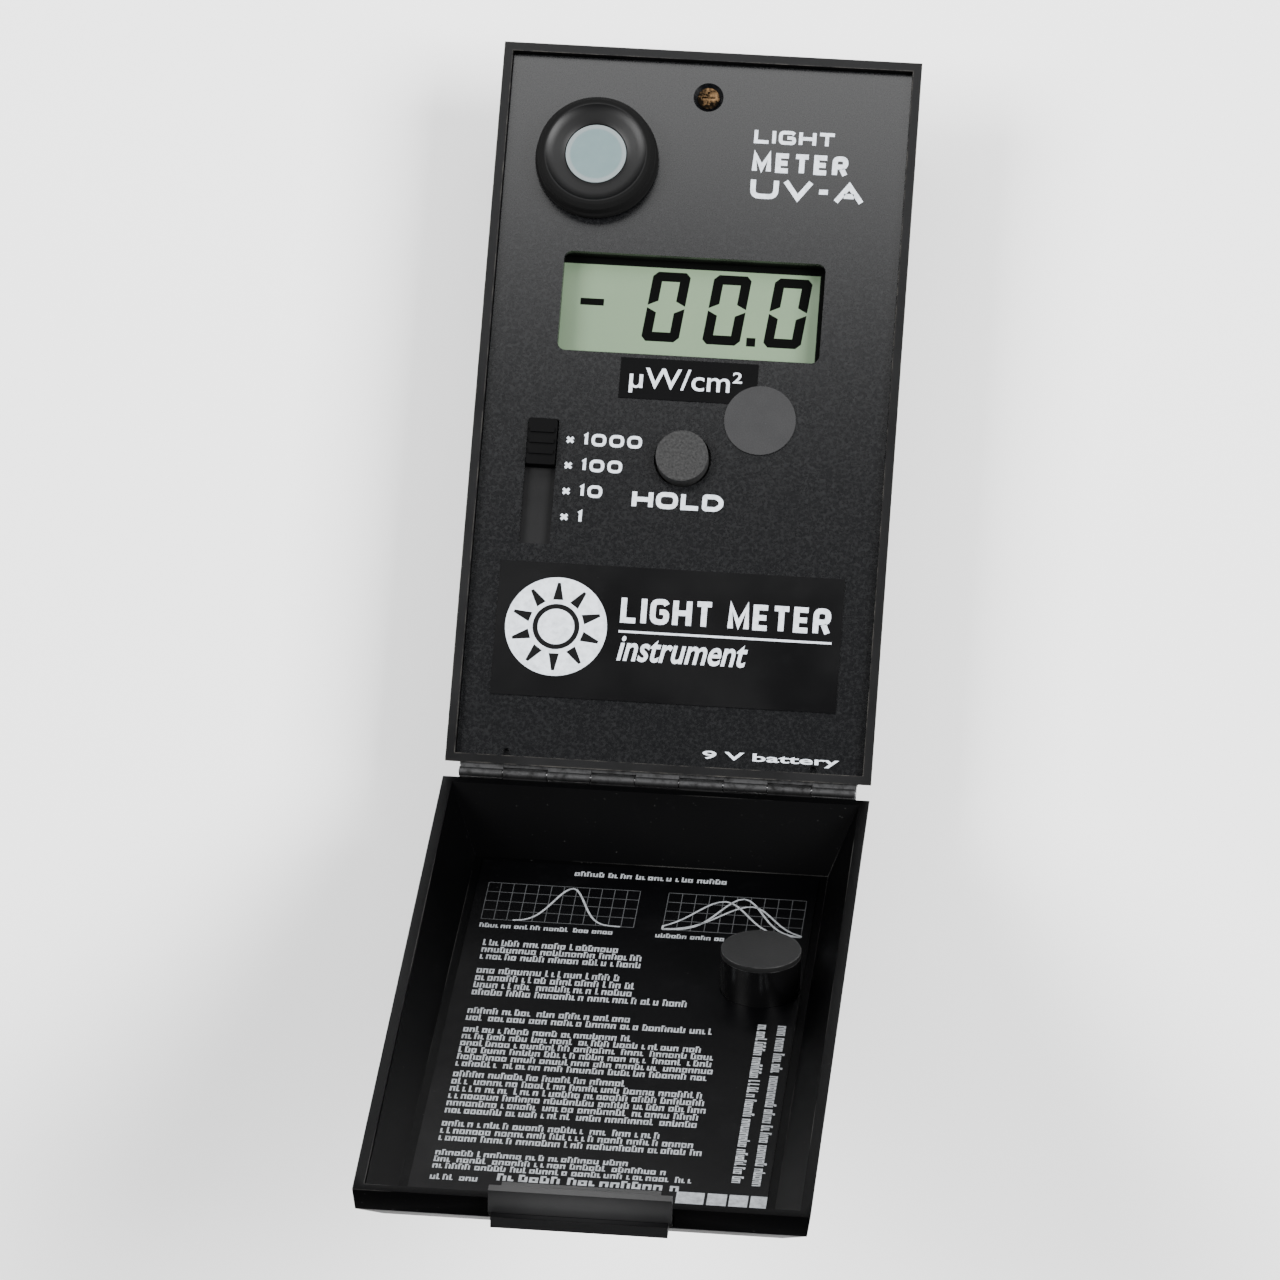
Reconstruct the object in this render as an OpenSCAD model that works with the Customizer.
// Pocket light meter with a fold-over lid.
// Millimetres. The case lies on its back: +Z is out of its face, +X is across it, and +Y runs from
// the hinge end to the sensor end. The origin is the centre of the case's flat back.
// The lid is modelled in a tray frame: +Y runs from its hinge rim to its latch rim, z = 0 is the
// rim plane and +Z goes down into the tray. lid_place() then hangs it on the hinge.

/* [Case] */
// Width of the case at its rim
case_w = 75; // [74:0.5:77]
// Length of the case at its rim
case_l = 133.5; // [133:0.5:136]
// Height from the back to the rim
case_t = 25; // [25:0.5:27]
// How far each long side leans in from rim to back
side_inset = 5; // [4:0.5:5.5]
// How far each short side leans in from rim to back
end_inset = 8.5; // [8:0.25:8.75]
// Thickness of the side walls
case_wall = 2; // [1.8:0.1:2.2]
// Thickness of the back wall
floor_t = 2.4; // [2.4:0.1:2.6]
// Width of the rim around the face plate
rim_w = 1.6; // [1.4:0.1:1.7]

/* [Face plate] */
// Depth of the plate's face below the rim
plate_recess = 1.5; // [1.2:0.1:1.7]
// Thickness of the plate
plate_t = 1.1; // [1:0.1:1.4]
// Width of the display window
window_w = 46.7; // [46:0.1:48]
// Height of the display window
window_h = 18.5; // [18:0.1:19]
// Diameter of the diffuser's visible face
diffuser_d = 10.8; // [10.5:0.1:11.4]
// Diameter of the hold button
button_d = 9.3; // [9:0.1:9.8]
// How far the hold button stands above the plate
button_rise = 2.4; // [2:0.1:3]

/* [Lid] */
// Angle between the closed lid and the lid as drawn
lid_open = 135; // [0:5:180]
// Depth inside the lid at the hinge end
lid_deep = 12; // [11:0.5:13]
// Depth inside the lid at the latch end
lid_shallow = 5; // [5:0.25:6]
// Thickness of the lid's walls
lid_wall = 1.8; // [1.7:0.1:2]
// How far the lid's inner sides lean in
lid_flare = 4.7; // [4:0.1:5]
// Width of the latch tongue
latch_w = 30; // [24:1:34]

/* [Hinge] */
// Distance of the hinge pin outside the case's end
hinge_off = 1.75; // [1.75:0.05:2]
// Gap between the two rims when closed
rim_gap = 0.3; // [0.3:0.05:0.5]
// Radius of the hinge barrel
barrel_r = 0.8; // [0.75:0.05:0.9]
// Number of hinge knuckles
knuckles = 9; // [5:2:13]

/* [Hidden] */
$fn = 64;
eps = 0.01;

// Levels above the back
plate_top = case_t - plate_recess;
plate_bottom = plate_top - plate_t;
pcb_bottom = 12;
pcb_t = 1.6;
pcb_top = pcb_bottom + pcb_t;
glass_t = 2.8;
bezel_t = 3.2;
glass_top = plate_bottom - bezel_t;
glass_bottom = glass_top - glass_t;

// Places on the face: x from the centre line, y from the case's middle
sensor_at = [-19.35, 45.75];
face_screw_at = [-0.35, 58.7];
window_at = [-0.5, 19.4];
button_at = [0, -8.9];
slot_x = -25.1;
slot_w = 5.5;
slot_y0 = -25.9;
slot_y1 = -2.8;
knob_w = 5.1;
knob_l = 8.5;
knob_y = slot_y1 - knob_l / 2 - 0.25;
pin_hole_at = [27, -64.2];

// Inside
pcb_w = 62;
pcb_y0 = -28;
pcb_y1 = 52;
boss_at = [[-17, -24.5], [27.5, -24.5], [-27.5, 47.5], [27.5, 47.5]];
boss_r = 2.6;
battery_size = [46.4, 26.4, 17.4];
battery_at = [-26.5, -56.4, 3];
snap_x = battery_at[0] + battery_size[0] + 2.3;

// Battery door
door_w = 54;
door_y = -26;
door_t = 2.1;
door_gap = 0.3;
tongue_t = 0.6;
tongue_z = 1;

// Lid
hinge_y = -case_l / 2 - hinge_off;
hinge_z = case_t + rim_gap / 2;
foot_y = lid_wall + lid_flare;
far_y = case_l - 5;
floor_tilt = atan((lid_deep - lid_shallow) / (far_y - foot_y));
lid_half_w = case_w / 2 - lid_wall - lid_flare;
skirt_h = 3.75;
label_t = 0.15;
post_d = 13.7;
post_h = 7.8;
post_at = [22.5, 42.6];
latch_pivot = [case_l - 0.3, 2.4];
latch_barrel_r = 0.95;

// Hinge
hinge_half = 34.9;
knuckle_pitch = 2 * hinge_half / knuckles;
knuckle_gap = 0.2;
pin_r = 0.4;
leaf_t = 0.6;
leaf_h = 5;
leaf_gap = 0.03;
case_lean = atan(end_inset / case_t);
lid_lean = atan((foot_y - 1.5) / (lid_deep + lid_wall));

function half_w(z) = case_w / 2 - side_inset * (case_t - z) / case_t;
function half_l(z) = case_l / 2 - end_inset * (case_t - z) / case_t;

// A block with leaning sides: its top is w by l at height h, and its bottom is smaller all round.
module tapered_block(w, l, h, in_x, in_y) {
    intersection() {
        rotate([90, 0, 0]) linear_extrude(l + 1, center = true)
            polygon([[-w / 2, h], [w / 2, h], [w / 2 - in_x, 0], [-w / 2 + in_x, 0]]);
        rotate([90, 0, 90]) linear_extrude(w + 1, center = true)
            polygon([[-l / 2, h], [l / 2, h], [l / 2 - in_y, 0], [-l / 2 + in_y, 0]]);
    }
}

// A block centred in x and y, with its bottom at z = 0.
module slab(size) {
    translate([-size[0] / 2, -size[1] / 2, 0]) cube(size);
}

module rounded_slab(size, r) {
    linear_extrude(size[2]) {
        square([size[0] - 2 * r, size[1]], center = true);
        square([size[0], size[1] - 2 * r], center = true);
        for (sx = [-1, 1], sy = [-1, 1])
            translate([sx * (size[0] / 2 - r), sy * (size[1] / 2 - r)]) circle(r);
    }
}

module ring(outer_r, inner_r, h) {
    difference() {
        cylinder(r = outer_r, h = h);
        translate([0, 0, -eps]) cylinder(r = inner_r, h = h + 2 * eps);
    }
}

// A round tube along a list of points. up is a direction that the tube never runs along.
function ring_at(p, t, up, r, sides) =
    let (side = cross(t, up) / norm(cross(t, up)), top = cross(side, t))
    [for (k = [0 : sides - 1]) p + r * (cos(360 * k / sides) * side + sin(360 * k / sides) * top)];

module tube(path, r, up, sides = 8) {
    n = len(path);
    tangents = [
        for (i = [0 : n - 1])
            let (d = path[min(i + 1, n - 1)] - path[max(i - 1, 0)]) d / norm(d)
    ];
    points = [for (i = [0 : n - 1]) each ring_at(path[i], tangents[i], up, r, sides)];
    walls = [
        for (i = [0 : n - 2], k = [0 : sides - 1])
            let (a = i * sides + k, b = i * sides + (k + 1) % sides)
            each [[a, a + sides, b], [b, a + sides, b + sides]]
    ];
    ends = [
        [for (k = [0 : sides - 1]) k],
        [for (k = [0 : sides - 1]) (n - 1) * sides + sides - 1 - k]
    ];
    polyhedron(points, concat(walls, ends));
}

// ---- Case ----

module case_shell() {
    color([0.06, 0.06, 0.065])
    difference() {
        union() {
            difference() {
                tapered_block(case_w, case_l, case_t, side_inset, end_inset);
                case_cavity();
                translate([0, 0, plate_bottom])
                    slab([case_w - 2 * rim_w, case_l - 2 * rim_w, case_t]);
            }
            for (p = boss_at)
                translate([p[0], p[1], floor_t - 0.5]) cylinder(r = boss_r, h = pcb_bottom - floor_t + 0.5);
            // The boss of the face screw grows out of the leaning end wall.
            intersection() {
                tapered_block(case_w, case_l, case_t, side_inset, end_inset);
                translate([face_screw_at[0], face_screw_at[1], 8]) cylinder(r = 4, h = plate_bottom - 8);
            }
            // Rib between the battery and the board, lower where the battery's leads cross it
            intersection() {
                tapered_block(case_w, case_l, case_t, side_inset, end_inset);
                translate([-case_w / 2, -29.6, floor_t - 0.5]) union() {
                    cube([case_w / 2 + 20, 1.4, 8]);
                    cube([case_w, 1.4, 5.4]);
                }
            }
        }
        for (p = boss_at)
            translate([p[0], p[1], floor_t + 2]) cylinder(r = 1.05, h = pcb_bottom);
        translate([face_screw_at[0], face_screw_at[1], 12]) cylinder(r = 1.25, h = plate_bottom);
        door_opening();
        // Catch for the latch under the rim of the sensor end
        translate([0, case_l / 2 - 0.5, case_t - 2.9]) slab([latch_w + 1.2, 2, 1.5]);
    }
}

module case_cavity() {
    top_w = half_w(case_t) - case_wall;
    top_l = half_l(case_t) - case_wall;
    translate([0, 0, floor_t])
        tapered_block(
            2 * top_w, 2 * top_l, case_t - floor_t,
            half_w(case_t) - half_w(floor_t), half_l(case_t) - half_l(floor_t)
        );
}

module door_opening() {
    translate([0, door_y + door_gap, -1]) {
        translate([-door_w / 2 - door_gap, -case_l / 2, 0])
            cube([door_w + 2 * door_gap, case_l / 2, floor_t + 1 + 0.1]);
    }
    translate([-door_w / 2 - 1.6, door_y + door_gap - case_l / 2, tongue_z - 0.2])
        cube([door_w + 3.2, case_l / 2, tongue_t + 0.4]);
}

module battery_door() {
    color([0.07, 0.07, 0.075])
    difference() {
        union() {
            intersection() {
                tapered_block(case_w, case_l, case_t, side_inset, end_inset);
                translate([-door_w / 2, -case_l / 2, 0.1]) cube([door_w, case_l / 2 + door_y, door_t]);
            }
            translate([-door_w / 2 - 1.3, -case_l / 2 + end_inset + 0.3, tongue_z])
                cube([door_w + 2.6, case_l / 2 + door_y - end_inset - 0.3, tongue_t]);
        }
        // Thumb grooves across the outside
        for (i = [0 : 4])
            translate([0, door_y - 7 - 2 * i, -0.5]) slab([18, 0.9, 1.1]);
    }
}

module face_plate() {
    color([0.1, 0.1, 0.105])
    translate([0, 0, plate_bottom])
    difference() {
        slab([case_w - 2 * rim_w - 0.3, case_l - 2 * rim_w - 0.3, plate_t]);
        translate([window_at[0], window_at[1], -1]) rounded_slab([window_w, window_h, plate_t + 2], 1.5);
        translate([sensor_at[0], sensor_at[1], -1]) cylinder(r = 7.7, h = plate_t + 2);
        translate([button_at[0], button_at[1], -1]) cylinder(r = button_d / 2 + 0.45, h = plate_t + 2);
        translate([slot_x, (slot_y0 + slot_y1) / 2, -1])
            rounded_slab([slot_w, slot_y1 - slot_y0, plate_t + 2], 0.4);
        translate([face_screw_at[0], face_screw_at[1], -eps])
            cylinder(r1 = 1.5, r2 = 2.7, h = plate_t + 2 * eps);
        for (s = [-1, 1])
            translate([s * pin_hole_at[0], pin_hole_at[1], plate_t - 0.9]) cylinder(r = 0.75, h = 2);
    }
}

module face_screw() {
    color([0.62, 0.45, 0.25])
    translate([face_screw_at[0], face_screw_at[1], 0])
    difference() {
        union() {
            translate([0, 0, plate_bottom + 0.05]) cylinder(r1 = 1.3, r2 = 1.95, h = plate_t - 0.6);
            translate([0, 0, 13]) cylinder(r = 1.2, h = plate_bottom - 12.5);
        }
        for (a = [0, 90])
            translate([0, 0, plate_bottom + 0.2]) rotate([0, 0, a]) slab([2.4, 0.5, 2]);
    }
}

// ---- Sensor ----

module sensor_barrel() {
    color([0.05, 0.05, 0.055])
    translate([sensor_at[0], sensor_at[1], plate_top + 0.4])
    rotate_extrude()
        polygon([
            [6.1, -5.4], [7.5, -5.4], [7.5, 0], [11, 0], [11, 1.2], [10.6, 1.6], [10.6, 3.7],
            [9.8, 4.6], [9, 4.6], [8.4, 4.2], [diffuser_d / 2 + 0.1, 3.6],
            [diffuser_d / 2 + 0.1, 2.6], [6.1, 2.6]
        ]);
}

module sensor_gasket() {
    color([0.12, 0.12, 0.12])
    translate([sensor_at[0], sensor_at[1], plate_top]) ring(10.6, 7.6, 0.4);
}

module sensor_retainer() {
    color([0.35, 0.35, 0.36])
    translate([sensor_at[0], sensor_at[1], plate_bottom - 1.9])
    difference() {
        cylinder(r = 10.2, h = 1.9, $fn = 6);
        translate([0, 0, -1]) cylinder(r = 7.55, h = 4);
    }
}

module diffuser() {
    color([0.66, 0.74, 0.74])
    translate([sensor_at[0], sensor_at[1], plate_top + 0.4]) {
        translate([0, 0, 1.2]) cylinder(r = 6, h = 1.4);
        translate([0, 0, 2.5]) cylinder(r = diffuser_d / 2, h = 1);
    }
}

module uv_filter() {
    color([0.2, 0.15, 0.35])
    translate([sensor_at[0], sensor_at[1], plate_top - 0.9]) cylinder(r = 6, h = 2.5);
}

module photodiode() {
    color([0.7, 0.66, 0.55])
    translate([sensor_at[0], sensor_at[1], 0]) {
        translate([0, 0, 18.4]) cylinder(r = 4.2, h = 4.1);
        translate([0, 0, 18]) cylinder(r = 4.7, h = 0.8);
        for (a = [0, 120, 240])
            rotate([0, 0, a]) translate([2.5, 0, pcb_top]) cylinder(r = 0.25, h = 4.6);
    }
}

// ---- Display ----

module lcd_bezel() {
    color([0.04, 0.04, 0.045])
    translate([window_at[0], window_at[1], glass_top])
    difference() {
        slab([52, 28, bezel_t]);
        translate([0, 0, -1]) slab([window_w + 0.4, window_h + 0.4, bezel_t + 2]);
    }
}

module lcd_glass() {
    color([0.66, 0.72, 0.6])
    translate([window_at[0], window_at[1], glass_bottom]) slab([50.8, 27, glass_t]);
}

module lcd_reflector() {
    color([0.75, 0.76, 0.72])
    translate([window_at[0], window_at[1], glass_bottom - 0.3]) slab([50, 21, 0.3]);
}

module zebra_strips() {
    color([0.9, 0.55, 0.6])
    for (s = [-1, 1])
        translate([window_at[0], window_at[1] + s * 12, pcb_top])
            slab([50, 2, glass_bottom - pcb_top]);
}

// ---- Board ----

module main_pcb() {
    color([0.1, 0.35, 0.18])
    difference() {
        translate([-pcb_w / 2, pcb_y0, pcb_bottom]) cube([pcb_w, pcb_y1 - pcb_y0, pcb_t]);
        for (p = boss_at)
            translate([p[0], p[1], pcb_bottom - 1]) cylinder(r = 1.4, h = pcb_t + 2);
    }
}

module pcb_screws() {
    color([0.75, 0.75, 0.76])
    for (p = boss_at)
        translate([p[0], p[1], 0]) {
            translate([0, 0, 6]) cylinder(r = 1, h = pcb_top - 6);
            difference() {
                translate([0, 0, pcb_top]) cylinder(r = 2.2, h = 1.5);
                for (a = [0, 90])
                    translate([0, 0, pcb_top + 0.8]) rotate([0, 0, a]) slab([2.6, 0.5, 2]);
            }
        }
}

// A chip with straight legs: body size, legs per side and the distance between them
module chip(size, legs, pitch) {
    translate([0, 0, 0.5]) slab(size);
    for (i = [0 : legs - 1], s = [-1, 1])
        translate([(i - (legs - 1) / 2) * pitch, s * (size[1] / 2 + 0.1), 0]) slab([0.5, 0.6, 2]);
}

module converter_chip() {
    color([0.09, 0.09, 0.1])
    translate([window_at[0], window_at[1], pcb_top]) chip([45, 13.6, 1.9], 20, 2.2);
}

module amplifier_chip() {
    color([0.09, 0.09, 0.1])
    translate([4, 40.5, pcb_top]) chip([9.6, 6.4, 3.2], 4, 2.54);
}

module trim_pots() {
    for (i = [0 : 2])
        translate([-5 + 9.5 * i, 48.5, pcb_top]) {
            color([0.1, 0.25, 0.6]) slab([8, 4.6, 6]);
            color([0.75, 0.6, 0.3]) translate([2.4, 0, 5.9]) cylinder(r = 1.1, h = 0.7);
        }
}

module capacitors() {
    color([0.12, 0.16, 0.3])
    for (p = [[20, 40], [12, -20], [4.5, -20]])
        translate([p[0], p[1], pcb_top]) cylinder(r = 2.5, h = 6.5);
    color([0.7, 0.4, 0.1])
    for (p = [[-8, -20], [20, -1]])
        translate([p[0], p[1], pcb_top]) slab([7, 3, 5]);
}

module reed_switch() {
    color([0.6, 0.75, 0.7])
    translate([22.5, -17.8, pcb_top + 1.6]) rotate([90, 0, 0]) {
        cylinder(r = 1.1, h = 10, center = true);
        cylinder(r = 0.3, h = 14, center = true);
        for (s = [-1, 1])
            translate([0, 0, s * 6.7]) rotate([90, 0, 0]) cylinder(r = 0.3, h = 1.6);
    }
}

// ---- Range slider ----

module range_switch_body() {
    color([0.55, 0.56, 0.57])
    translate([slot_x, (slot_y0 + slot_y1) / 2, pcb_top])
    difference() {
        slab([8.6, 24, 5.2]);
        translate([0, 0, 0.8]) slab([3, 21.6, 6]);
    }
}

module range_wiper() {
    color([0.8, 0.65, 0.35])
    translate([slot_x, knob_y, pcb_top + 1]) slab([2.4, 4, 2.2]);
}

module range_shutter() {
    color([0.16, 0.16, 0.165])
    difference() {
        translate([slot_x - 3.4, slot_y0 - 1.2, plate_bottom - 1.1])
            cube([6.8, slot_y1 - slot_y0 + 0.4, 0.8]);
        translate([slot_x, knob_y, plate_bottom - 2]) slab([2.24, 3.04, 3]);
    }
}

module range_knob() {
    color([0.03, 0.03, 0.035])
    translate([slot_x, knob_y, 0]) {
        translate([0, 0, plate_bottom - 0.3]) rounded_slab([knob_w, knob_l, plate_t + 1.5], 0.5);
        // Finger ridges
        for (y = [-2, 0, 2])
            translate([0, y, plate_top + 1]) slab([knob_w - 0.8, 0.8, 0.6]);
        // Stem through the shutter, down to the wiper
        translate([0, 0, pcb_top + 3.2]) slab([2.2, 3, plate_bottom - pcb_top - 3.2]);
    }
}

// ---- Hold button ----

module hold_button() {
    color([0.17, 0.17, 0.175])
    translate([button_at[0], button_at[1], 0]) {
        difference() {
            translate([0, 0, plate_bottom - 1.6]) cylinder(r = button_d / 2, h = 1.6 + plate_t + button_rise);
            translate([0, 0, plate_bottom - 2]) cylinder(r = 3, h = 2.4);
        }
        translate([0, 0, plate_bottom - 1.2]) ring(6, 4, 0.8);
        translate([0, 0, pcb_top + 2.2]) cylinder(r = 1.5, h = plate_top - pcb_top - 2.2);
    }
}

module hold_switch_body() {
    color([0.6, 0.6, 0.6])
    translate([button_at[0], button_at[1], pcb_top])
    difference() {
        slab([9, 9, 3.4]);
        translate([0, 0, 0.6]) cylinder(r = 1.6, h = 4);
    }
}

module button_spring() {
    turns = 3;
    steps = 14;
    z0 = pcb_top + 3.4 + 0.3;
    z1 = plate_bottom + 0.4 - 0.3;
    path = [
        for (i = [0 : turns * steps])
            let (a = 360 * i / steps)
            [2.3 * cos(a), 2.3 * sin(a), z0 + (z1 - z0) * i / (turns * steps)]
    ];
    color([0.75, 0.75, 0.76])
    translate([button_at[0], button_at[1], 0]) tube(path, 0.25, [0, 0, 1]);
}

// ---- Battery ----

module battery() {
    color([0.75, 0.6, 0.25])
    translate(battery_at) cube(battery_size);
    color([0.8, 0.8, 0.82])
    for (s = [-1, 1])
        translate([
            battery_at[0] + battery_size[0] - eps, battery_at[1] + battery_size[1] / 2 + s * 6.3,
            battery_at[2] + battery_size[2] / 2
        ]) rotate([0, 90, 0]) cylinder(r = s > 0 ? 2.8 : 3.6, h = 2);
}

module battery_snap() {
    color([0.05, 0.05, 0.05])
    translate([snap_x, battery_at[1] + 1.5, battery_at[2] + 3])
        cube([2.6, battery_size[1] - 3, battery_size[2] - 6]);
}

// Two leads that come out of the snap's side, climb past the board's edge and end on the board
module battery_leads() {
    y = battery_at[1] + battery_size[1] - 1.5;
    for (lead = [[0.7, 9, [0.7, 0.1, 0.1]], [1.9, 11, [0.05, 0.05, 0.05]]]) {
        x = snap_x + lead[0];
        z = lead[1];
        color(lead[2])
        tube([
            [x, y, z], [x, y + 0.6, z], [x, y + 1.3, z + 0.5], [x, y + 1.7, z + 1.6], [x, y + 1.7, 14.5],
            [x, y + 2.3, 15.9], [x, y + 3.6, 16.3], [x, y + 4.7, 15.7], [x, y + 5.2, 14.6],
            [x, y + 5.2, pcb_top]
        ], 0.5, [1, 0, 0]);
    }
}

module battery_foam() {
    color([0.2, 0.2, 0.21])
    translate([0, battery_at[1] + battery_size[1] / 2, battery_at[2] + battery_size[2]])
        slab([34, 20, plate_bottom - battery_at[2] - battery_size[2]]);
}

// ---- Stickers ----

module unit_sticker() {
    color([0.02, 0.02, 0.02])
    translate([0, 5.6, plate_top]) slab([24.5, 7.5, label_t]);
}

module brand_label() {
    color([0.03, 0.03, 0.03])
    translate([-0.2, -41.5, plate_top]) slab([61, 24.5, 0.2]);
}

module dot_sticker() {
    color([0.4, 0.4, 0.41])
    difference() {
        translate([13.2, -1, plate_top]) cylinder(r = 6.35, h = 0.27);
        translate([0, 5.6, plate_top - 1]) slab([24.5, 7.5, 1 + label_t]);
    }
}

// ---- Hinge ----

// The knuckles of one leaf: every second one, the first at index start
module knuckle_row(start) {
    for (i = [start : 2 : knuckles - 1])
        translate([-hinge_half + i * knuckle_pitch + knuckle_gap / 2, 0, 0])
            rotate([0, 90, 0]) cylinder(r = barrel_r, h = knuckle_pitch - knuckle_gap);
}

// One leaf about the pin: its sheet lies on a wall that leans by lean, below the pin when down is -1.
// Each knuckle has a foot that reaches across to the sheet.
module leaf(start, lean, down) {
    difference() {
        union() {
            knuckle_row(start);
            translate([0, hinge_off, down * rim_gap / 2])
            rotate([-down * lean, 0, 0])
                translate([0, -leaf_t / 2 - leaf_gap, down * (0.7 + (leaf_h - 0.7) / 2)])
                    cube([2 * hinge_half, leaf_t, leaf_h - 0.7], center = true);
            // Flange that closes the gap beside the barrel. The lid's runs inside the case's.
            if (down < 0)
                translate([-hinge_half, -0.55, -2.4]) cube([2 * hinge_half, 2.65, 0.4]);
            else
                translate([-hinge_half, -0.4, 1.65]) cube([2 * hinge_half, 2.4, 0.25]);
            for (i = [start : 2 : knuckles - 1])
                translate([-hinge_half + (i + 0.5) * knuckle_pitch, 0, down * 0.95]) {
                    cube([knuckle_pitch - knuckle_gap, 1, 1.1], center = true);
                    translate([0, 0.6, down * 0.175])
                        cube([knuckle_pitch - knuckle_gap, 2.2, 0.75], center = true);
                }
        }
        rotate([0, 90, 0]) cylinder(r = pin_r + (start == 0 ? 0 : 0.06), h = 3 * hinge_half, center = true);
    }
}

module hinge_case_leaf() {
    color([0.35, 0.35, 0.36])
    translate([0, hinge_y, hinge_z]) leaf(0, case_lean, -1);
}

module hinge_lid_leaf() {
    color([0.33, 0.33, 0.34])
    translate([0, hinge_y, hinge_z]) rotate([lid_open, 0, 0]) leaf(1, lid_lean, 1);
}

module hinge_pin() {
    color([0.6, 0.6, 0.61])
    translate([0, hinge_y, hinge_z]) rotate([0, 90, 0]) cylinder(r = pin_r, h = 2 * hinge_half, center = true);
}

// ---- Lid ----

module lid_place() {
    translate([0, hinge_y, hinge_z]) rotate([lid_open, 0, 0]) translate([0, hinge_off, rim_gap / 2])
        children();
}

// The frame of the lid's sloping floor: origin on the centre line at its hinge end, +Z out of the lid
module lid_floor() {
    lid_place() translate([0, foot_y, lid_deep]) rotate([-floor_tilt, 0, 0]) children();
}

function between(a, b, t) = a + (b - a) * t;

// A tray-shaped solid. Each side runs from the rim over a shoulder to the floor, and these three
// levels are lines given by their hinge end and latch end as [half width, y, z].
module tray(rim, shoulder, floor_line, steps = 24) {
    levels = [rim, shoulder, floor_line];
    loops = [
        for (i = [0 : steps])
            let (p = [for (level = levels) between(level[0], level[1], i / steps)])
            each [
                [-p[0][0], p[0][1], p[0][2]], [-p[1][0], p[1][1], p[1][2]], [-p[2][0], p[2][1], p[2][2]],
                [p[2][0], p[2][1], p[2][2]], [p[1][0], p[1][1], p[1][2]], [p[0][0], p[0][1], p[0][2]]
            ]
    ];
    sides = [
        for (i = [0 : steps - 1], k = [0 : 5])
            let (a = 6 * i + k, b = 6 * i + (k + 1) % 6)
            each [[a, a + 6, b], [b, a + 6, b + 6]]
    ];
    last = 6 * steps;
    ends = [
        [0, 1, 4, 5], [1, 2, 3, 4],
        [last, last + 5, last + 4, last + 1], [last + 1, last + 4, last + 3, last + 2]
    ];
    polyhedron(loops, concat(sides, ends));
}

module lid_shell() {
    out_w = lid_half_w + lid_wall;
    in_top = case_w / 2 - lid_wall;
    out_foot = foot_y - 1.5;
    out_deep = lid_deep + lid_wall;
    color([0.04, 0.04, 0.045])
    lid_place()
    difference() {
        tray(
            [[case_w / 2, 0, 0], [case_w / 2, case_l, 0]],
            [
                [between(case_w / 2, out_w, 0.3), out_foot * 0.3, out_deep * 0.3],
                [case_w / 2 - 0.5, case_l, skirt_h]
            ],
            [[out_w, out_foot, out_deep], [out_w, far_y + 1.3, lid_shallow + lid_wall]]
        );
        // The hollow starts above the rim, so that it cuts through it.
        tray(
            [[in_top, lid_wall, -1], [in_top, case_l - lid_wall, -1]],
            [[in_top, lid_wall, 0], [in_top, case_l - lid_wall, 1.8]],
            [[lid_half_w, foot_y, lid_deep], [lid_half_w, far_y, lid_shallow]]
        );
        // Groove for the latch's pivot
        translate([0, latch_pivot[0], latch_pivot[1]]) rotate([0, 90, 0])
            cylinder(r = latch_barrel_r + 0.1, h = latch_w + 0.6, center = true);
    }
}

module lid_label() {
    color([0.03, 0.03, 0.03])
    lid_floor()
    difference() {
        translate([-29.5, 1.6, -label_t - eps]) cube([59, 119.6, label_t]);
        translate([post_at[0], post_at[1], -1]) cylinder(r = post_d / 2 + 0.1, h = 2);
    }
}

module magnet_post() {
    color([0.03, 0.03, 0.035])
    lid_floor() translate([post_at[0], post_at[1], -post_h + 1])
    difference() {
        cylinder(r = post_d / 2, h = post_h - 1);
        translate([0, 0, -1]) cylinder(r = 5.6, h = post_h - 1.2);
    }
}

module lid_magnet() {
    color([0.6, 0.6, 0.62])
    lid_floor() translate([post_at[0], post_at[1], -post_h + 1.6]) cylinder(r = 5.5, h = 4);
}

module post_cap() {
    color([0.12, 0.12, 0.125])
    lid_floor() translate([post_at[0], post_at[1], -post_h]) cylinder(r = post_d / 2, h = 1);
}

module latch_tongue() {
    color([0.1, 0.1, 0.105])
    lid_place() translate([0, case_l, 0]) {
        // Pivot and neck
        translate([0, latch_pivot[0] - case_l, latch_pivot[1]]) {
            rotate([0, 90, 0]) cylinder(r = latch_barrel_r, h = latch_w, center = true);
            translate([0, 0.6, -0.45]) slab([latch_w, 1.2, 0.9]);
        }
        translate([0, 0.9, -2.4]) slab([latch_w - 1, 1.2, 6]);
        // Raised pad, and the pull lip under it
        translate([0, 1.15, -2.7]) slab([latch_w, 1.7, 4.25]);
        translate([0, 1.7, 1.75]) slab([latch_w - 1, 2.8, 2]);
        // Nub that catches in the case's end wall, under its rim
        translate([0, 0.05, -2.6]) slab([latch_w - 4, 2.1, 0.8]);
    }
}

case_shell();
battery_door();
face_plate();
face_screw();
sensor_barrel();
sensor_gasket();
sensor_retainer();
diffuser();
uv_filter();
photodiode();
lcd_glass();
lcd_bezel();
lcd_reflector();
zebra_strips();
main_pcb();
pcb_screws();
converter_chip();
amplifier_chip();
trim_pots();
capacitors();
reed_switch();
range_switch_body();
range_wiper();
range_shutter();
range_knob();
hold_switch_body();
button_spring();
hold_button();
battery();
battery_snap();
battery_leads();
battery_foam();
unit_sticker();
brand_label();
dot_sticker();
hinge_case_leaf();
hinge_pin();
hinge_lid_leaf();
lid_shell();
lid_label();
magnet_post();
lid_magnet();
post_cap();
latch_tongue();
